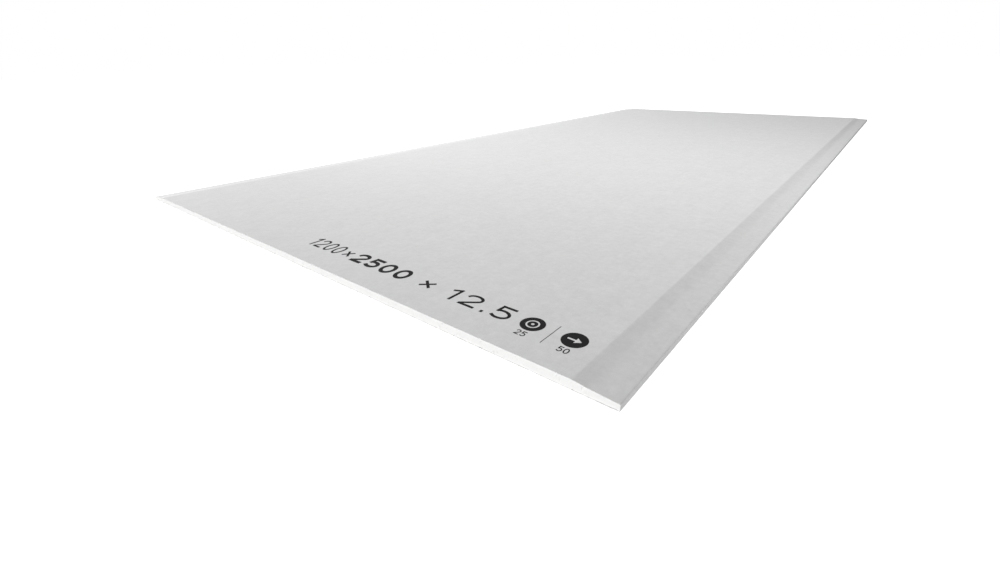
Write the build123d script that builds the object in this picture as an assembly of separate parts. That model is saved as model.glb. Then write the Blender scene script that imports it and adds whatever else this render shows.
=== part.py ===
from build123d import *
import os

# Drywall sheet lying face up, in millimetres: X across, Y along, Z up from the middle of its back

# Board
LENGTH = 2500.0
WIDTH = 1200.0
THICKNESS = 12.5

# Face paper, wrapped round both long edges and folded onto the back as two flaps
FACE_PAPER = 0.35
FLAP_WIDTH = 25.0

# Back paper, lapped over the flaps and leaving their outer strips bare
BACK_PAPER = 0.30
BARE_FLAP = 8.0

# Tapered long edges: a steeper flank, then a flatter strip out to the edge, for joint tape
FLANK_WIDTH = 18.0
FLANK_DROP = 2.2
STRIP_WIDTH = 32.0
STRIP_DROP = 1.8

# Rounding of the section's corners
TAPER_CREST_RADIUS = 20.0
TAPER_HOLLOW_RADIUS = 140.0
FACE_ARRIS_RADIUS = 1.5
BACK_ARRIS_RADIUS = 1.0

# Places in the section that follow from the sizes above
EDGE_X = WIDTH / 2
STRIP_X = EDGE_X - STRIP_WIDTH
FLAT_FACE_X = STRIP_X - FLANK_WIDTH
STRIP_Z = THICKNESS - FLANK_DROP
EDGE_Z = STRIP_Z - STRIP_DROP


def wrapped_section():
    """Section of the board as wrapped in its face paper, from one long edge to the other."""
    right_corners = [
        (EDGE_X, BACK_PAPER, BACK_ARRIS_RADIUS),
        (EDGE_X, EDGE_Z, FACE_ARRIS_RADIUS),
        (STRIP_X, STRIP_Z, TAPER_HOLLOW_RADIUS),
        (FLAT_FACE_X, THICKNESS, TAPER_CREST_RADIUS),
    ]
    left_corners = [(-x, z, radius) for x, z, radius in reversed(right_corners)]
    corners = right_corners + left_corners
    with BuildSketch(Plane.XZ) as section:
        with BuildLine():
            FilletPolyline(
                [(x, z) for x, z, radius in corners],
                radius=[radius for x, z, radius in corners],
                close=True,
            )
        make_face()
    return section.sketch


def strip_section(width, bottom, height):
    """Section of a flat strip centred on the board, from its bottom upwards."""
    return Plane.XZ * Pos(0, bottom + height / 2) * Rectangle(width, height)


def along_board(section):
    """The board's full length of a section, cut square at both ends."""
    return extrude(section, LENGTH / 2, both=True)


# The core fills the wrap and reaches down between its two flaps
wrap_outside = wrapped_section()
wrap_inside = offset(wrap_outside, -FACE_PAPER)
between_flaps = strip_section(WIDTH - 2 * FLAP_WIDTH, BACK_PAPER, FACE_PAPER)
over_flaps = strip_section(WIDTH - 2 * BARE_FLAP, 0, BACK_PAPER)

nodes = {
    "gypsum_core": along_board(wrap_inside + between_flaps),
    "face_paper": along_board(wrap_outside - wrap_inside - between_flaps),
    "back_paper": along_board(over_flaps),
}

os.makedirs("parts", exist_ok=True)
for name, node in nodes.items():
    node.label = name
    export_step(node, f"parts/{name}.step")
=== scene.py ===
import math

import bpy
import numpy as np
from mathutils import Matrix, Vector
from mathutils.geometry import tessellate_polygon


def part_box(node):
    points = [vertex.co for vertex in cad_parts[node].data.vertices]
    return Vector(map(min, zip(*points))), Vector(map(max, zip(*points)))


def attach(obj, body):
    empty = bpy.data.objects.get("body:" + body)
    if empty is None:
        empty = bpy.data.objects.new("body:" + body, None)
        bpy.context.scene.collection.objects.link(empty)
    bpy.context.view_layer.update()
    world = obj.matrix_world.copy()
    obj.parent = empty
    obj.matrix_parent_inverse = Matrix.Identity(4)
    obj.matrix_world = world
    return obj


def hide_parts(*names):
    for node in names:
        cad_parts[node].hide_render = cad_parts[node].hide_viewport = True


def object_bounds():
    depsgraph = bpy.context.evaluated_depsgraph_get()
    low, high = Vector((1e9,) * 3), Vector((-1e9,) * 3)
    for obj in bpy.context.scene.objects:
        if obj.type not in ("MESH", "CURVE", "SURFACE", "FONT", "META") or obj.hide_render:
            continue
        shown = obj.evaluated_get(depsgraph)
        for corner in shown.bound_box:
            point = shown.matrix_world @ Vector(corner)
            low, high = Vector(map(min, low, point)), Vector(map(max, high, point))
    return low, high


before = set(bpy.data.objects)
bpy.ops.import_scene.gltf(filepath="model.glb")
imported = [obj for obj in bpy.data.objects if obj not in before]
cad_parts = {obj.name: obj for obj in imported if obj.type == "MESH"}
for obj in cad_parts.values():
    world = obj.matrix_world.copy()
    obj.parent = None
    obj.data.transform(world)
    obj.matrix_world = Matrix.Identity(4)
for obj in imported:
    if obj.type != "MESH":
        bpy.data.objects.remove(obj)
cad_low, cad_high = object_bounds()

# Units: everything is in metres, and small sizes are written in millimetres
MM = 0.001
CM_IN_METRE = 100

# Sheet, from the frame: x across, y along, z up from the back
EDGE_X = cad_high.x
END_Y = cad_high.y
TOP_Z = cad_high.z
BACK_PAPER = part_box("back_paper")[1].z
BACK_PAPER_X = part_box("back_paper")[1].x
FACE_PAPER = TOP_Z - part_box("gypsum_core")[1].z

# Tapered long edges and the folded flaps, as in the solids
FLAP_WIDTH = 25 * MM
STRIP_WIDTH = 32 * MM
STRIP_DROP = 1.8 * MM
FLANK_WIDTH = 18 * MM
FLANK_DROP = 2.2 * MM
TAPER_CREST_RADIUS = 20 * MM
TAPER_HOLLOW_RADIUS = 140 * MM
FACE_ARRIS_RADIUS = 1.5 * MM
BACK_ARRIS_RADIUS = 1.0 * MM

# Places in the section that follow from these sizes
FLAP_X = EDGE_X - FLAP_WIDTH
STRIP_X = EDGE_X - STRIP_WIDTH
FLAT_FACE_X = STRIP_X - FLANK_WIDTH
STRIP_Z = TOP_Z - FLANK_DROP
EDGE_Z = STRIP_Z - STRIP_DROP

# Relief, always cut inwards from the solids' surfaces
INK_ALLOWANCE = 0.06 * MM
ALLOWANCE_FADE = 1 * MM
PAPER_WAVE = 0.05 * MM
PAPER_FRAY = 0.22 * MM
CORE_RECESS = 0.25 * MM
CORE_ROUGHNESS = 0.12 * MM
CORE_CRUMBLE = 0.35 * MM

# Layers of the relief's noise: share of each layer, then the size of its cells both ways
FACE_WAVES = [(0.5, 38 * MM, 420 * MM), (0.35, 9 * MM, 260 * MM), (0.15, 3 * MM, 150 * MM)]
BACK_WAVES = [(0.6, 45 * MM, 300 * MM), (0.4, 8 * MM, 200 * MM)]
CORE_BUMPS = [(0.5, 0.9 * MM, 0.9 * MM), (0.5, 4 * MM, 2.5 * MM)]

# Layers of a cut's fray, read along one line through the middle of the noise's cells
FACE_FRAYS = [(0.6, 7 * MM, 1), (0.4, 1.6 * MM, 1)]
BACK_FRAYS = [(1, 3 * MM, 1)]
MIDDLE_OF_CELL = 0.5

# First seed of each relief, which the seeds of its other layers follow
FACE_WAVE_SEED = 11
FACE_FRAY_SEEDS = (21, 31)
BACK_WAVE_SEED = 41
BACK_FRAY_SEEDS = (43, 44)
CORE_SEEDS = (51, 61)

# Saw marks on the cut gypsum, which lean by their own breadth over the rise
SAW_SHARE = 0.5
SAW_BREADTH = 1.5 * MM
SAW_RISE = 5 * MM
SAW_LENGTH = 30 * MM

# Crumbled rims of the cut gypsum: their share of the height, the patches in them and how many break away
CRUMBLE_RIM = 0.12
CRUMBLE_PATCH = 5 * MM
CRUMBLE_ROWS = 2
CRUMBLE_GAIN = 1.6
CRUMBLE_LIMIT = 0.7

# Air pores opened by the cut: their radii are plain millimetres, and their depth is a share of the radius
PORES_ON_SQUARE_CM = 6.0
PORE_RADIUS = 0.5
PORE_SPREAD = 0.9
PORE_POWER = 4
PORE_DEPTH = 0.7

# Print on the face, placed from the middle of the near end: plain size figures and two plain signs
FIGURE_HEIGHT = 30 * MM
FIGURE_BASE = -END_Y + 44 * MM
FIGURE_GROUPS = [
    # figures, left side, breadth of a figure, step from one to the next, width of the stroke
    ("1200", 5 * MM, 18 * MM, 23.5 * MM, 3.8 * MM),
    ("x", 99 * MM, 17 * MM, 0, 3.8 * MM),
    ("2500", 128 * MM, 25 * MM, 32.5 * MM, 6.2 * MM),
    ("x", 279 * MM, 22 * MM, 0, 4.2 * MM),
    ("12.5", 326 * MM, 28 * MM, 36.5 * MM, 4.2 * MM),
]
FIGURE_BOX = 0.6
NARROW_STEPS = {"1": 0.85, ".": 0.36}
ARC_STEP = 10
ARC_LEAST_STEPS = 4

# Signs: the rings of the target and the upper half of the arrow's outline are in radii of the sign
SIGN_RADIUS = 15 * MM
SIGN_Y = -END_Y + 59 * MM
SIGN_X = (463 * MM, 517.5 * MM)
TARGET_RINGS = (1, 0.56, 0.42, 0.14)
ARROW_HALF = [(-0.58, 0.09), (0.08, 0.09), (0.08, 0.36), (0.58, 0)]

# Captions under the signs, and the thin line between the signs
CAPTIONS = ("25", "50")
CAPTION_HEIGHT = 10 * MM
CAPTION_BREADTH = FIGURE_BOX * CAPTION_HEIGHT
CAPTION_STEP = 0.75 * CAPTION_HEIGHT
CAPTION_LEFT = 0.65 * CAPTION_HEIGHT
CAPTION_BASE = -END_Y + 31 * MM
CAPTION_STROKE = 1.4 * MM
DIVIDER_X = 491 * MM
DIVIDER_Y = -END_Y + 53.5 * MM
DIVIDER_LENGTH = 40.5 * MM
DIVIDER_WIDTH = 0.8 * MM

# Ink: strokes take three heights in turn, so that the tops of two that cross don't share a plane
INK_TOP = TOP_Z - 0.03 * MM
INK_BOTTOM = TOP_Z - 0.18 * MM
INK_STEP = 0.004 * MM
INK_LEVELS = 3

# Mesh: spacing of columns and rows, and the angle from which an edge is sharp
PAPER_COLUMN = 1.1 * MM
BACK_COLUMN = 2 * PAPER_COLUMN
CORE_COLUMN = 0.62 * MM
CORE_ROWS = 16
LONG_ROW = 90 * MM
FIRST_ROW = 0.5 * MM
ROW_GROWTH = 1.7
ARC_SEGMENTS = 8
SHARP_ANGLE = math.radians(50)

# Core's section: breadth of the rims that follow its rounded edges, step at each flap, and tolerances
CORE_RIM = 2 * MM
FLAP_STEP = 1e-6
NEAR_FLAP = 0.01 * MM
ON_SIDE = 1e-7
PLACE_DECIMALS = 7

# Tones of the four materials, red, green and blue from 0 to 1
FACE_TONE = (0.715, 0.715, 0.715)
BACK_TONE = (0.52, 0.51, 0.485)
GYPSUM_TONE = (0.90, 0.90, 0.893)
INK_TONE = (0.02, 0.02, 0.02)

# Camera, fitted to the sheet's outline in the photograph
PHOTO_WIDTH = 1000
FOCAL_PIXELS = 461.42
SENSOR_WIDTH = 36.0
CAMERA_PLACE = Vector((0.72423, -1.55683, 0.27844))
CAMERA_YAW = math.radians(40.092)
CAMERA_PITCH = math.radians(25.325)
CAMERA_ROLL = math.radians(-1.304)
CAMERA_NEAR = 0.01

# Floor: its size, tone and own glow, and how it lights what is closer to it than the reach
FLOOR_HALF_SIDE = 40.0
FLOOR_DROP = 0.2 * MM
FLOOR_TONE = (0.8, 0.8, 0.8, 1)
FLOOR_GLOW = 0.83
UNDERSIDE_GLOW = 0.55
UNDERSIDE_REACH = 4 * MM

# Light: the even sky, then each lamp's name, place, point it is turned to, breadth and power
SKY_LIGHT = 0.272
LAMPS = [
    ("left_near", (-5.3, -1.0, 1.0), (-0.2, -0.1, 0), 0.9, 232),
    ("left_far", (-5.3, 3.0, 2.2), (-0.2, -0.1, 0), 0.9, 264),
    ("overhead", (-0.4, 0.0, 2.2), (0, 0, 0), 0.9, 8.8),
    ("overhead_right", (0.6, -0.4, 1.25), (0, 0, 0), 0.5, 5.0),
    ("front", (0.0, -6.0, 0.25), (0, -1.2, 0), 0.4, 136),
    ("right", (1.8, -1.35, 0.12), (0.6, -0.4, 0), 0.2, 5.5),
]


# Smooth random fields

def lattice_noise(u, v, seed):
    """Smooth noise from 0 to 1 on a unit lattice, the same for the same seed."""
    u, v = np.broadcast_arrays(u, v)
    cell_u = np.floor(u).astype(int)
    cell_v = np.floor(v).astype(int)
    low_u, low_v = cell_u.min(), cell_v.min()
    shape = (cell_u.max() - low_u + 2, cell_v.max() - low_v + 2)
    heights = np.random.default_rng(seed).random(shape)
    i, j = cell_u - low_u, cell_v - low_v
    fu, fv = u - cell_u, v - cell_v
    fu = fu * fu * (3 - 2 * fu)
    fv = fv * fv * (3 - 2 * fv)
    low = heights[i, j] * (1 - fu) + heights[i + 1, j] * fu
    high = heights[i, j + 1] * (1 - fu) + heights[i + 1, j + 1] * fu
    return low * (1 - fv) + high * fv


def layered_noise(u, v, layers, seed):
    """Layers of smooth noise added up by their shares, with seeds that follow on from the first."""
    return sum(
        share * lattice_noise(u / cell_u, v / cell_v, seed + number)
        for number, (share, cell_u, cell_v) in enumerate(layers)
    )


# Section of the sheet

def rounded_path(corners, spacing):
    """Points and outward normals along a path from left to right, its corners rounded by arcs."""
    places = np.array([(x, z) for x, z, radius in corners])
    radii = [radius for x, z, radius in corners]
    points, normals = [], []

    def add_run(start, end):
        """Adds a straight part of the path, its points no further apart than the spacing."""
        run = end - start
        length = np.hypot(*run)
        steps = max(1, math.ceil(length / spacing))
        normal = np.array([-run[1], run[0]]) / length
        for share in np.linspace(0, 1, steps + 1):
            points.append(start + run * share)
            normals.append(normal)

    run_start = places[0]
    for before, corner, after, radius in zip(places, places[1:], places[2:], radii[1:]):
        way_in = (corner - before) / np.hypot(*(corner - before))
        way_out = (after - corner) / np.hypot(*(after - corner))
        turn = math.atan2(way_in[0] * way_out[1] - way_in[1] * way_out[0], way_in @ way_out)
        reach = radius * abs(math.tan(turn / 2))
        add_run(run_start, corner - way_in * reach)
        side = math.copysign(1, turn)
        normal_in = np.array([-way_in[1], way_in[0]])
        centre = corner - way_in * reach + normal_in * radius * side
        for share in np.arange(1, ARC_SEGMENTS) / ARC_SEGMENTS:
            angle = turn * share
            c, s = math.cos(angle), math.sin(angle)
            normal = np.array([normal_in[0] * c - normal_in[1] * s, normal_in[0] * s + normal_in[1] * c])
            points.append(centre - normal * radius * side)
            normals.append(normal)
        run_start = corner + way_out * reach
    add_run(run_start, places[-1])
    return np.array(points), np.array(normals)


def wrap_corners():
    """Corners of the face paper's outside, from its left flap over the face to its right flap."""
    right = [
        (FLAT_FACE_X, TOP_Z, TAPER_CREST_RADIUS),
        (STRIP_X, STRIP_Z, TAPER_HOLLOW_RADIUS),
        (EDGE_X, EDGE_Z, FACE_ARRIS_RADIUS),
        (EDGE_X, BACK_PAPER, BACK_ARRIS_RADIUS),
        (FLAP_X, BACK_PAPER, 0),
    ]
    left = [(-x, z, radius) for x, z, radius in reversed(right)]
    return left + right


def rows_along():
    """Places along the sheet, close together near its ends and wide apart in its middle."""
    places, step = [0.0], FIRST_ROW
    while step < LONG_ROW:
        places.append(places[-1] + step)
        step *= ROW_GROWTH
    from_end = np.array(places)
    middle_length = 2 * (END_Y - from_end[-1])
    middle = np.linspace(0, middle_length, math.ceil(middle_length / LONG_ROW) + 1)[1:-1]
    return np.concatenate([from_end - END_Y, middle + from_end[-1] - END_Y, END_Y - from_end[::-1]])


# Meshes

def make_piece(name, vertices, faces, material):
    """A closed mesh that rides on the sheet's one body."""
    mesh = bpy.data.meshes.new(name)
    mesh.from_pydata(vertices, [], faces)
    mesh.polygons.foreach_set("use_smooth", [True] * len(mesh.polygons))
    mesh.set_sharp_from_angle(angle=SHARP_ANGLE)
    mesh.materials.append(material)
    mesh.validate()
    piece = bpy.data.objects.new(name, mesh)
    bpy.context.scene.collection.objects.link(piece)
    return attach(piece, "root")


def grid_faces(columns, rows, first=0, flipped=False):
    """Quads of a grid whose vertices run column by column."""
    corner = first + (np.arange(columns - 1)[:, None] * rows + np.arange(rows - 1)[None, :]).ravel()
    quads = np.stack([corner, corner + rows, corner + rows + 1, corner + 1], axis=1)
    return (quads[:, ::-1] if flipped else quads).tolist()


def sheet_between(outside, inside, columns, rows):
    """Vertices and faces of a thin closed sheet: a detailed outside and an inside with its ends only."""
    first = len(outside)
    vertices = np.concatenate([outside, inside])
    faces = grid_faces(columns, rows)
    faces += grid_faces(columns, 2, first, flipped=True)
    column = np.arange(columns - 1)
    near_out, near_in = column * rows, first + column * 2
    far_out, far_in = near_out + rows - 1, near_in + 1
    faces += np.stack([near_out + rows, near_out, near_in, near_in + 2], axis=1).tolist()
    faces += np.stack([far_out, far_out + rows, far_in + 2, far_in], axis=1).tolist()
    last_out, last_in = (columns - 1) * rows, first + (columns - 1) * 2
    faces.append([first, *range(rows), first + 1][::-1])
    faces.append([last_in, *range(last_out, last_out + rows), last_in + 1])
    return vertices, faces


def fray_ends(place_y, across, layers, seeds):
    """Draws both ends of a sheet's columns in by uneven amounts."""
    near, far = [PAPER_FRAY * layered_noise(across, MIDDLE_OF_CELL, layers, seed) for seed in seeds]
    place_y[:, 0] += near
    place_y[:, -1] -= far


def end_lines(x, z, place_y):
    """The two ends of a sheet's plain inside, column by column."""
    near = np.stack([x, place_y[:, 0], z], axis=-1)
    far = np.stack([x, place_y[:, -1], z], axis=-1)
    return np.stack([near, far], axis=1).reshape(-1, 3)


def face_sheet(material):
    """The face paper, wrapped round both long edges and folded onto the back."""
    points, normals = rounded_path(wrap_corners(), PAPER_COLUMN)
    across = np.concatenate([[0], np.cumsum(np.hypot(*np.diff(points, axis=0).T))])
    along = rows_along()
    columns, rows = len(points), len(along)
    wave = layered_noise(across[:, None], along[None, :], FACE_WAVES, FACE_WAVE_SEED)
    on_face = np.clip((points[:, 1] - EDGE_Z + ALLOWANCE_FADE) / ALLOWANCE_FADE, 0, 1)[:, None]
    depth = PAPER_WAVE * wave + INK_ALLOWANCE * on_face
    place_y = np.repeat(along[None, :], columns, axis=0)
    fray_ends(place_y, across, FACE_FRAYS, FACE_FRAY_SEEDS)
    outside = np.stack([
        points[:, 0, None] - normals[:, 0, None] * depth,
        place_y,
        points[:, 1, None] - normals[:, 1, None] * depth,
    ], axis=-1).reshape(-1, 3)
    inner = points - normals * FACE_PAPER
    inside = end_lines(inner[:, 0], inner[:, 1], place_y)
    piece = make_piece("face_sheet", *sheet_between(outside, inside, columns, rows), material)
    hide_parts("face_paper")


def back_sheet(material):
    """The back paper, which laps over the flaps."""
    columns = math.ceil(2 * BACK_PAPER_X / BACK_COLUMN) + 1
    x = np.linspace(BACK_PAPER_X, -BACK_PAPER_X, columns)
    along = rows_along()
    rows = len(along)
    wave = layered_noise(x[:, None], along[None, :], BACK_WAVES, BACK_WAVE_SEED)
    place_x = np.repeat(x[:, None], rows, axis=1)
    place_y = np.repeat(along[None, :], columns, axis=0)
    fray_ends(place_y, x, BACK_FRAYS, BACK_FRAY_SEEDS)
    outside = np.stack([place_x, place_y, PAPER_WAVE * wave], axis=-1).reshape(-1, 3)
    inside = end_lines(x, np.full(columns, BACK_PAPER), place_y)
    piece = make_piece("back_sheet", *sheet_between(outside, inside, columns, rows), material)
    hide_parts("back_paper")


def pore_field(x, z, seed):
    """Depth of the air pores that the cut opened, over a grid of places on an end."""
    rng = np.random.default_rng(seed)
    count = int(PORES_ON_SQUARE_CM * (2 * EDGE_X * CM_IN_METRE) * (TOP_Z * CM_IN_METRE))
    centres_x = rng.uniform(-EDGE_X, EDGE_X, count)
    centres_z = rng.uniform(0, TOP_Z, count)
    shares = rng.random(count)
    depth = np.zeros_like(z)
    column_x = x[:, 0]
    for centre_x, centre_z, share in zip(centres_x, centres_z, shares):
        radius = (PORE_RADIUS + PORE_SPREAD * share ** PORE_POWER) * MM
        first, last = np.searchsorted(column_x, (centre_x - radius, centre_x + radius))
        away = np.hypot(x[first:last] - centre_x, z[first:last] - centre_z) / radius
        bowl = radius * PORE_DEPTH * np.sqrt(np.clip(1 - away ** 2, 0, None))
        depth[first:last] = np.maximum(depth[first:last], bowl)
    return depth


def end_relief(x, z, share_up, seed):
    """How far the cut gypsum lies behind the sheet's square end, and the pores' part of it."""
    rough = layered_noise(x, z, CORE_BUMPS, seed)
    saw = lattice_noise(x / SAW_BREADTH + z / SAW_RISE, z / SAW_LENGTH, seed + 2)
    rim = np.clip(1 - np.minimum(share_up, 1 - share_up) / CRUMBLE_RIM, 0, 1)
    patches = lattice_noise(x / CRUMBLE_PATCH, share_up * CRUMBLE_ROWS, seed + 3)
    crumble = rim * np.clip(patches * CRUMBLE_GAIN - CRUMBLE_LIMIT, 0, 1)
    pores = pore_field(x, z, seed + 4)
    relief = CORE_RECESS + CORE_ROUGHNESS * (rough + SAW_SHARE * saw) + CORE_CRUMBLE * crumble + pores
    return relief, pores


def core_section():
    """Places across the core, with the height of its bottom and of its top at each."""
    points, normals = rounded_path(wrap_corners(), PAPER_COLUMN)
    inner = points - normals * FACE_PAPER
    side_x = EDGE_X - FACE_PAPER
    half = len(inner) // 2
    on_side = inner[:half, 0] <= -side_x + ON_SIDE
    left_low = np.argmax(on_side)
    left_high = half - 1 - np.argmax(on_side[::-1])
    right_high = len(inner) - 1 - left_high
    right_low = len(inner) - 1 - left_low
    over = inner[left_high:right_high + 1]
    under_left = inner[:left_low + 1][::-1]
    under_right = inner[right_low:][::-1]
    step = [(-FLAP_X + FLAP_STEP, BACK_PAPER), (FLAP_X - FLAP_STEP, BACK_PAPER)]
    under = np.concatenate([under_left, step, under_right])
    rim = np.unique(np.round(np.concatenate([over[:, 0], under[:, 0]]), PLACE_DECIMALS))
    rim = rim[np.abs(rim) > EDGE_X - CORE_RIM]
    flat = np.arange(-EDGE_X + CORE_RIM, EDGE_X - CORE_RIM, CORE_COLUMN)
    at_flap = under[:, 0][np.abs(np.abs(under[:, 0]) - FLAP_X) < NEAR_FLAP]
    column_x = np.unique(np.concatenate([rim, flat, at_flap]))
    low = np.interp(column_x, under[:, 0], under[:, 1])
    high = np.interp(column_x, over[:, 0], over[:, 1])
    return column_x, low, high


def board_core(material):
    """The gypsum core: plain under the papers, with a cut and porous face at each end."""
    column_x, low, high = core_section()
    columns = len(column_x)
    up = np.linspace(0, 1, CORE_ROWS)[None, :]
    x = np.repeat(column_x[:, None], CORE_ROWS, axis=1)
    z = low[:, None] + (high - low)[:, None] * up
    near_relief, near_pores = end_relief(x, z, up, CORE_SEEDS[0])
    far_relief, far_pores = end_relief(x, z, up, CORE_SEEDS[1])
    near = np.stack([x, -END_Y + near_relief, z], axis=-1).reshape(-1, 3)
    far = np.stack([x, END_Y - far_relief, z], axis=-1).reshape(-1, 3)
    first = len(near)
    faces = grid_faces(columns, CORE_ROWS)
    faces += grid_faces(columns, CORE_ROWS, first, flipped=True)
    bottom = np.arange(columns) * CORE_ROWS
    top = bottom + CORE_ROWS - 1
    left = np.arange(CORE_ROWS)
    right = bottom[-1] + left
    for line, flipped in ((bottom, False), (top, True), (left, True), (right, False)):
        wall = np.stack([line[:-1], first + line[:-1], first + line[1:], line[1:]], axis=1)
        faces += (wall[:, ::-1] if flipped else wall).tolist()
    piece = make_piece("board_core", np.concatenate([near, far]), faces, material)
    # Depth of each pore in millimetres, kept so that the gypsum can paint shade into the pores
    pores = np.concatenate([near_pores.ravel(), far_pores.ravel()]) / MM
    shade = piece.data.attributes.new("pore", "FLOAT", "POINT")
    shade.data.foreach_set("value", pores.astype(np.float32))
    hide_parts("gypsum_core")


# Print

def arc(centre, radii, start, end):
    """Points of an elliptical arc between two angles in degrees."""
    steps = max(ARC_LEAST_STEPS, round(abs(end - start) / ARC_STEP))
    turns = np.radians(np.linspace(start, end, steps + 1))
    return [(centre[0] + radii[0] * math.cos(t), centre[1] + radii[1] * math.sin(t)) for t in turns]


def circle(centre, radius):
    """Points of a full circle, the first one not repeated at its end."""
    return arc(centre, (radius, radius), 0, 360)[:-1]


def figure_strokes():
    """Middle lines of each figure's strokes, in a box 0.6 wide and 1 high."""
    return {
        "0": [arc((0.3, 0.5), (0.24, 0.5), 90, 450)],
        "1": [[(0.36, 0), (0.36, 1)], [(0.35, 0.99), (0.15, 0.83)]],
        "2": [arc((0.29, 0.73), (0.24, 0.27), 165, -35) + [(0.09, 0.06)], [(0.06, 0), (0.53, 0)]],
        "5": [[(0.5, 1), (0.12, 1)], [(0.12, 1), (0.1, 0.56)], arc((0.27, 0.32), (0.26, 0.32), 120, -135)],
        "x": [[(0.1, 0.22), (0.52, 0.7)], [(0.1, 0.7), (0.52, 0.22)]],
        ".": [[(0.06, 0), (0.06, 0.02)]],
    }


def stroke_outlines(points, width):
    """Outline of a square-ended stroke on its middle line, and its hole where the line is closed."""
    points = np.array(points, dtype=float)
    closed = np.allclose(points[0], points[-1])
    if closed:
        points = points[:-1]
        along = np.roll(points, -1, axis=0) - np.roll(points, 1, axis=0)
    else:
        for end, beside in ((0, 1), (-1, -2)):
            outward = points[end] - points[beside]
            points[end] += outward / np.hypot(*outward) * width / 2
        along = np.gradient(points, axis=0)
    across = np.stack([-along[:, 1], along[:, 0]], axis=1) * width / 2
    across /= np.hypot(along[:, 0], along[:, 1])[:, None]
    left, right = points + across, points - across
    return [right, left[::-1]] if closed else [np.concatenate([right, left[::-1]])]


def figures(text, place, height, breadth, step, width):
    """Shapes of a line of figures, each stroke a shape of its own."""
    strokes = figure_strokes()
    shapes, x = [], place[0]
    scale_x = breadth / FIGURE_BOX
    scale_y = height - width
    for letter in text:
        for points in strokes[letter]:
            line = [(x + px * scale_x, place[1] + width / 2 + py * scale_y) for px, py in points]
            shapes.append(stroke_outlines(line, width))
        x += step * NARROW_STEPS.get(letter, 1)
    return shapes


def wound(ring, anticlockwise):
    """A ring's points in the order that runs round it the way that is asked for."""
    x, y = np.array(ring).T
    area = np.sum(x * np.roll(y, -1) - np.roll(x, -1) * y)
    return list(ring) if (area > 0) == anticlockwise else list(ring)[::-1]


def print_piece(name, shapes, material):
    """Thin closed plates of ink, each from an outline and the outlines of its holes."""
    vertices, faces = [], []
    for index, shape in enumerate(shapes):
        rings = [wound(ring, anticlockwise=number == 0) for number, ring in enumerate(shape)]
        flat_rings = [[Vector((x, y, 0)) for x, y in ring] for ring in rings]
        flat = [point for ring in flat_rings for point in ring]
        top = INK_TOP - INK_STEP * (index % INK_LEVELS)
        low, high = len(vertices), len(vertices) + len(flat)
        vertices += [(p.x, p.y, INK_BOTTOM) for p in flat]
        vertices += [(p.x, p.y, top) for p in flat]
        for a, b, c in tessellate_polygon(flat_rings):
            if (flat[b] - flat[a]).cross(flat[c] - flat[a]).z < 0:
                b, c = c, b
            faces.append((high + a, high + b, high + c))
            faces.append((low + c, low + b, low + a))
        first = 0
        for ring in rings:
            for i in range(len(ring)):
                here, after = first + i, first + (i + 1) % len(ring)
                faces.append((low + here, low + after, high + after, high + here))
            first += len(ring)
    piece = make_piece(name, vertices, faces, material)


def target_sign(centre):
    """A dark disc with a light ring and a light dot."""
    rings = [circle(centre, SIGN_RADIUS * share) for share in TARGET_RINGS]
    return [rings[:2], rings[2:]]


def arrow_sign(centre):
    """A dark disc with a light arrow that points to the tapered edge."""
    outline = ARROW_HALF + [(x, -y) for x, y in ARROW_HALF[-2::-1]]
    arrow = [(centre[0] + x * SIGN_RADIUS, centre[1] + y * SIGN_RADIUS) for x, y in outline]
    return [[circle(centre, SIGN_RADIUS), arrow]]


def face_print(material):
    """Everything printed on the face, near the end that faces the camera."""
    row = []
    for text, left, breadth, step, width in FIGURE_GROUPS:
        row += figures(text, (left, FIGURE_BASE), FIGURE_HEIGHT, breadth, step, width)
    print_piece("size_figures", row, material)
    print_piece("target_sign", target_sign((SIGN_X[0], SIGN_Y)), material)
    print_piece("arrow_sign", arrow_sign((SIGN_X[1], SIGN_Y)), material)
    captions = []
    for text, x in zip(CAPTIONS, SIGN_X):
        place = (x - CAPTION_LEFT, CAPTION_BASE)
        captions += figures(text, place, CAPTION_HEIGHT, CAPTION_BREADTH, CAPTION_STEP, CAPTION_STROKE)
    print_piece("sign_figures", captions, material)
    line = [(DIVIDER_X, DIVIDER_Y - DIVIDER_LENGTH / 2), (DIVIDER_X, DIVIDER_Y + DIVIDER_LENGTH / 2)]
    print_piece("divider_line", [stroke_outlines(line, DIVIDER_WIDTH)], material)


# Materials

def put(tree, value, socket):
    """Puts a number, a vector or another node's output into a socket."""
    if isinstance(value, bpy.types.NodeSocket):
        tree.links.new(value, socket)
    else:
        socket.default_value = value


def math_node(tree, operation, a, b=0.0):
    """The result of one operation on two numbers or outputs."""
    node = tree.nodes.new("ShaderNodeMath")
    node.operation = operation
    put(tree, a, node.inputs[0])
    put(tree, b, node.inputs[1])
    return node.outputs[0]


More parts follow.
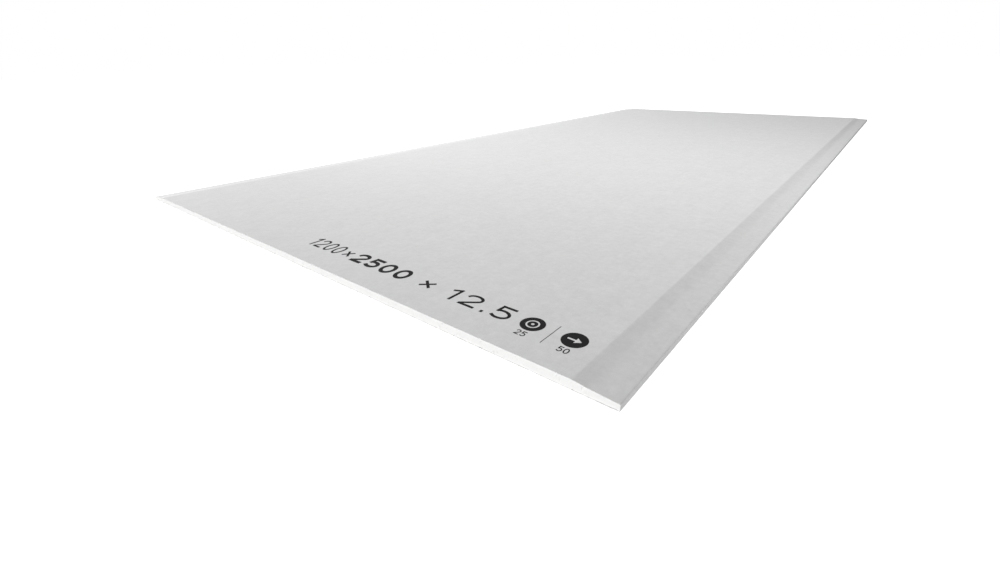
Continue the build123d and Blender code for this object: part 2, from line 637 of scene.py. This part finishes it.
class Shading:
    """A node material with short calls for the patterns used here."""

    def __init__(self, name, roughness, specular):
        self.material = bpy.data.materials.new(name)
        self.material.use_nodes = True
        self.tree = self.material.node_tree
        self.shader = self.tree.nodes["Principled BSDF"]
        self.shader.inputs["Roughness"].default_value = roughness
        self.shader.inputs["Specular IOR Level"].default_value = specular
        coordinates = self.tree.nodes.new("ShaderNodeTexCoord")
        self.place = coordinates.outputs["Object"]
        self.facing = coordinates.outputs["Normal"]

    def link(self, value, socket):
        """Puts a value into a socket of this material."""
        put(self.tree, value, socket)

    def math(self, operation, a, b=0.0):
        """The result of one operation in this material."""
        return math_node(self.tree, operation, a, b)

    def spread(self, value, low, high, to_low=0.0, to_high=1.0):
        """Maps low..high of a value smoothly to another range, held at both ends."""
        node = self.tree.nodes.new("ShaderNodeMapRange")
        node.interpolation_type = "SMOOTHSTEP"
        for index, entry in enumerate((value, low, high, to_low, to_high)):
            self.link(entry, node.inputs[index])
        return node.outputs[0]

    def stretched(self, scale):
        """Object coordinates with each axis scaled."""
        node = self.tree.nodes.new("ShaderNodeMapping")
        self.link(self.place, node.inputs["Vector"])
        node.inputs["Scale"].default_value = scale
        return node.outputs[0]

    def noise(self, cell, detail=2.0, roughness=0.5, distortion=0.0, stretch=(1, 1, 1)):
        """Noise with features about one cell wide, from 0 to 1."""
        node = self.tree.nodes.new("ShaderNodeTexNoise")
        self.link(self.stretched(stretch), node.inputs["Vector"])
        node.inputs["Scale"].default_value = 1 / cell
        node.inputs["Detail"].default_value = detail
        node.inputs["Roughness"].default_value = roughness
        node.inputs["Distortion"].default_value = distortion
        return node.outputs["Fac"]

    def dots(self, cell, radius, kept):
        """A mask of small round dots, one in some of the cells, with their edges softened."""
        node = self.tree.nodes.new("ShaderNodeTexVoronoi")
        self.link(self.place, node.inputs["Vector"])
        node.inputs["Scale"].default_value = 1 / cell
        rim = radius / cell
        near = self.spread(node.outputs["Distance"], rim * 0.5, rim, to_low=1.0, to_high=0.0)
        split = self.tree.nodes.new("ShaderNodeSeparateColor")
        self.link(node.outputs["Color"], split.inputs[0])
        return self.math("MULTIPLY", near, self.math("LESS_THAN", split.outputs[0], kept))

    def hairs(self, cell, width, kept):
        """A mask of short curly lines, like fibres lying in a sheet."""
        curls = self.noise(cell, detail=1.0, roughness=0.4, distortion=1.2)
        line = self.math("ABSOLUTE", self.math("SUBTRACT", curls, 0.5))
        thin = self.spread(line, 0.0, width, to_low=1.0, to_high=0.0)
        gaps = 1 - kept
        broken = self.spread(self.noise(cell * 1.7, detail=1.0), gaps, gaps + 0.06)
        return self.math("MULTIPLY", thin, broken)

    def cut_end(self):
        """A mask of the narrow faces where the saw cut through a sheet, at both ends of the board."""
        split = self.tree.nodes.new("ShaderNodeSeparateXYZ")
        self.link(self.facing, split.inputs[0])
        return self.spread(self.math("ABSOLUTE", split.outputs["Y"]), 0.6, 0.9)

    def varied(self, tone, changes):
        """A tone multiplied by one plus the sum of the changes, each a mask, its middle and its size."""
        total = 1.0
        for mask, middle, size in changes:
            change = self.math("MULTIPLY", self.math("SUBTRACT", mask, middle), size)
            total = self.math("ADD", total, change)
        node = self.tree.nodes.new("ShaderNodeVectorMath")
        node.operation = "SCALE"
        node.inputs[0].default_value = tone
        self.link(total, node.inputs["Scale"])
        self.link(node.outputs[0], self.shader.inputs["Base Color"])

    def relief(self, height, distance, strength):
        """Shades the surface as if a height pattern stood on it."""
        node = self.tree.nodes.new("ShaderNodeBump")
        node.inputs["Distance"].default_value = distance
        node.inputs["Strength"].default_value = strength
        self.link(height, node.inputs["Height"])
        self.link(node.outputs[0], self.shader.inputs["Normal"])


def face_paper_material():
    """Light grey facing: cloudy and finely fibrous, with faint streaks along the sheet."""
    paper = Shading("face_paper", roughness=0.9, specular=0.15)
    cloud = paper.noise(28 * MM, detail=3.0, roughness=0.6)
    mottle = paper.noise(8 * MM, detail=2.0, roughness=0.6)
    streak = paper.noise(5 * MM, detail=2.0, roughness=0.5, stretch=(1, 0.03, 1))
    grain = paper.noise(0.8 * MM, detail=2.0, roughness=0.7)
    light_fibres = paper.hairs(3.2 * MM, width=0.03, kept=0.45)
    dark_fibres = paper.hairs(4.1 * MM, width=0.022, kept=0.3)
    flecks = paper.dots(8 * MM, radius=0.4 * MM, kept=0.5)
    paper.varied(FACE_TONE, [
        (cloud, 0.5, 0.10),
        (mottle, 0.5, 0.17),
        (streak, 0.5, 0.05),
        (grain, 0.5, 0.20),
        (light_fibres, 0.0, 0.07),
        (dark_fibres, 0.0, -0.07),
        (flecks, 0.0, -0.22),
        (paper.cut_end(), 0.0, -0.45),
    ])
    roughness = paper.spread(mottle, 0.3, 0.7, to_low=0.84, to_high=0.94)
    paper.link(roughness, paper.shader.inputs["Roughness"])
    height = paper.math("ADD", grain, paper.math("MULTIPLY", light_fibres, 0.6))
    paper.relief(height, distance=0.04 * MM, strength=0.6)
    return paper.material


def back_paper_material():
    """Recycled grey backing, coarser than the face and flecked with darker and lighter fibres."""
    paper = Shading("back_paper", roughness=0.88, specular=0.25)
    cloud = paper.noise(22 * MM, detail=3.0, roughness=0.6)
    grain = paper.noise(1.1 * MM, detail=2.0, roughness=0.7)
    light_fibres = paper.hairs(4.5 * MM, width=0.025, kept=0.5)
    dark_fibres = paper.hairs(3.5 * MM, width=0.02, kept=0.4)
    flecks = paper.dots(5 * MM, radius=0.4 * MM, kept=0.6)
    paper.varied(BACK_TONE, [
        (cloud, 0.5, 0.10),
        (grain, 0.5, 0.16),
        (light_fibres, 0.0, 0.12),
        (dark_fibres, 0.0, -0.14),
        (flecks, 0.0, -0.25),
        (paper.cut_end(), 0.0, -0.35),
    ])
    paper.relief(paper.math("ADD", grain, light_fibres), distance=0.05 * MM, strength=0.6)
    return paper.material


def gypsum_material():
    """Chalky white gypsum, with fine closed bubbles and open pores; both are darkened as painted shade,
    the pores the more the deeper they are.
    """
    gypsum = Shading("gypsum", roughness=0.92, specular=0.2)
    cloud = gypsum.noise(9 * MM, detail=3.0, roughness=0.6)
    grain = gypsum.noise(0.5 * MM, detail=2.0, roughness=0.7)
    # Bubble pits: sunk in the bump and darkened in the colour as painted shade
    bubbles = gypsum.dots(1.3 * MM, radius=0.4 * MM, kept=0.7)
    pore = gypsum.tree.nodes.new("ShaderNodeAttribute")
    pore.attribute_name = "pore"
    # Painted shade: the colour of the open pores darkens with their depth
    pore_shade = gypsum.spread(pore.outputs["Fac"], 0.0, 0.8)
    gypsum.varied(GYPSUM_TONE, [
        (cloud, 0.5, 0.03),
        (grain, 0.5, 0.05),
        (bubbles, 0.0, -0.05),
        (pore_shade, 0.0, -0.08),
    ])
    height = gypsum.math("SUBTRACT", grain, gypsum.math("MULTIPLY", bubbles, 2.0))
    gypsum.relief(height, distance=0.06 * MM, strength=0.7)
    return gypsum.material


def ink_material():
    """Dark printing ink, a little thin where the paper is rough."""
    ink = Shading("ink", roughness=0.95, specular=0.05)
    grain = ink.noise(0.7 * MM, detail=2.0, roughness=0.7)
    cloud = ink.noise(7 * MM, detail=2.0, roughness=0.6)
    misses = ink.dots(1.6 * MM, radius=0.22 * MM, kept=0.35)
    ink.varied(INK_TONE, [
        (grain, 0.5, 0.8),
        (cloud, 0.5, 0.5),
        (misses, 0.0, 3.0),
    ])
    ink.relief(grain, distance=0.02 * MM, strength=0.5)
    return ink.material


# Surroundings

def floor_material():
    """White that glows to the camera and to a close underside, and is clear from below."""
    material = bpy.data.materials.new("floor")
    material.use_nodes = True
    tree = material.node_tree
    nodes, links = tree.nodes, tree.links
    nodes.clear()
    path = nodes.new("ShaderNodeLightPath")
    seen = math_node(tree, "MAXIMUM", path.outputs["Is Camera Ray"], path.outputs["Is Glossy Ray"])
    close = math_node(tree, "LESS_THAN", path.outputs["Ray Length"], UNDERSIDE_REACH)
    under = math_node(tree, "MULTIPLY", close, path.outputs["Is Diffuse Ray"])
    shown = math_node(tree, "MULTIPLY", seen, FLOOR_GLOW)
    lighting = math_node(tree, "MULTIPLY", under, UNDERSIDE_GLOW)
    diffuse = nodes.new("ShaderNodeBsdfDiffuse")
    diffuse.inputs["Color"].default_value = FLOOR_TONE
    glow = nodes.new("ShaderNodeEmission")
    links.new(math_node(tree, "MAXIMUM", shown, lighting), glow.inputs["Strength"])
    top = nodes.new("ShaderNodeAddShader")
    links.new(diffuse.outputs[0], top.inputs[0])
    links.new(glow.outputs[0], top.inputs[1])
    clear = nodes.new("ShaderNodeBsdfTransparent")
    side = nodes.new("ShaderNodeNewGeometry")
    choose = nodes.new("ShaderNodeMixShader")
    links.new(side.outputs["Backfacing"], choose.inputs[0])
    links.new(top.outputs[0], choose.inputs[1])
    links.new(clear.outputs[0], choose.inputs[2])
    output = nodes.new("ShaderNodeOutputMaterial")
    links.new(choose.outputs[0], output.inputs["Surface"])
    return material


def white_floor():
    """A white floor that keeps the sheet's shadow; the sheet's back is lit and seen through it."""
    quarters = ((-1, -1), (1, -1), (1, 1), (-1, 1))
    corners = [(x * FLOOR_HALF_SIDE, y * FLOOR_HALF_SIDE, -FLOOR_DROP) for x, y in quarters]
    mesh = bpy.data.meshes.new("floor")
    mesh.from_pydata(corners, [], [(0, 1, 2, 3)])
    mesh.materials.append(floor_material())
    floor = bpy.data.objects.new("floor", mesh)
    bpy.context.scene.collection.objects.link(floor)


def white_world():
    """An even sky that lights the sheet and shows as white."""
    world = bpy.data.worlds.new("studio")
    bpy.context.scene.world = world
    world.use_nodes = True
    tree = world.node_tree
    nodes, links = tree.nodes, tree.links
    path = nodes.new("ShaderNodeLightPath")
    straight = math_node(tree, "MAXIMUM", path.outputs["Is Camera Ray"], path.outputs["Is Glossy Ray"])
    shown = math_node(tree, "MAXIMUM", straight, path.outputs["Is Transmission Ray"])
    level = nodes.new("ShaderNodeMapRange")
    level.inputs["To Min"].default_value = SKY_LIGHT
    level.inputs["To Max"].default_value = 1.0
    links.new(shown, level.inputs["Value"])
    links.new(level.outputs[0], nodes["Background"].inputs["Strength"])
    nodes["Background"].inputs["Color"].default_value = (1, 1, 1, 1)


def soft_lamp(name, place, aim, size, power):
    """A square soft box at a place, turned towards a point."""
    light = bpy.data.lights.new(name, "AREA")
    light.shape = "SQUARE"
    light.size = size
    light.energy = power
    lamp = bpy.data.objects.new(name, light)
    lamp.location = place
    lamp.rotation_euler = (Vector(aim) - Vector(place)).to_track_quat("-Z", "Y").to_euler()
    lamp.visible_camera = False
    bpy.context.scene.collection.objects.link(lamp)


def photo_camera():
    """The photograph's wide view from just over the sheet's near corner."""
    forward = Vector((
        -math.sin(CAMERA_YAW) * math.cos(CAMERA_PITCH),
        math.cos(CAMERA_YAW) * math.cos(CAMERA_PITCH),
        -math.sin(CAMERA_PITCH),
    ))
    level_right = Vector((math.cos(CAMERA_YAW), math.sin(CAMERA_YAW), 0))
    level_up = level_right.cross(forward)
    right = level_right * math.cos(CAMERA_ROLL) + level_up * math.sin(CAMERA_ROLL)
    up = right.cross(forward)
    data = bpy.data.cameras.new("camera")
    data.sensor_width = SENSOR_WIDTH
    data.lens = FOCAL_PIXELS / PHOTO_WIDTH * SENSOR_WIDTH
    data.clip_start = CAMERA_NEAR
    camera = bpy.data.objects.new("camera", data)
    turn = Matrix((right, up, -forward)).transposed()
    camera.matrix_world = Matrix.Translation(CAMERA_PLACE) @ turn.to_4x4()
    bpy.context.scene.collection.objects.link(camera)
    bpy.context.scene.camera = camera


# The sheet
face_sheet(face_paper_material())
back_sheet(back_paper_material())
board_core(gypsum_material())
face_print(ink_material())

# The studio
bpy.context.scene.view_settings.view_transform = "Standard"
photo_camera()
white_floor()
white_world()
for name, place, aim, size, power in LAMPS:
    soft_lamp(name, place, aim, size, power)
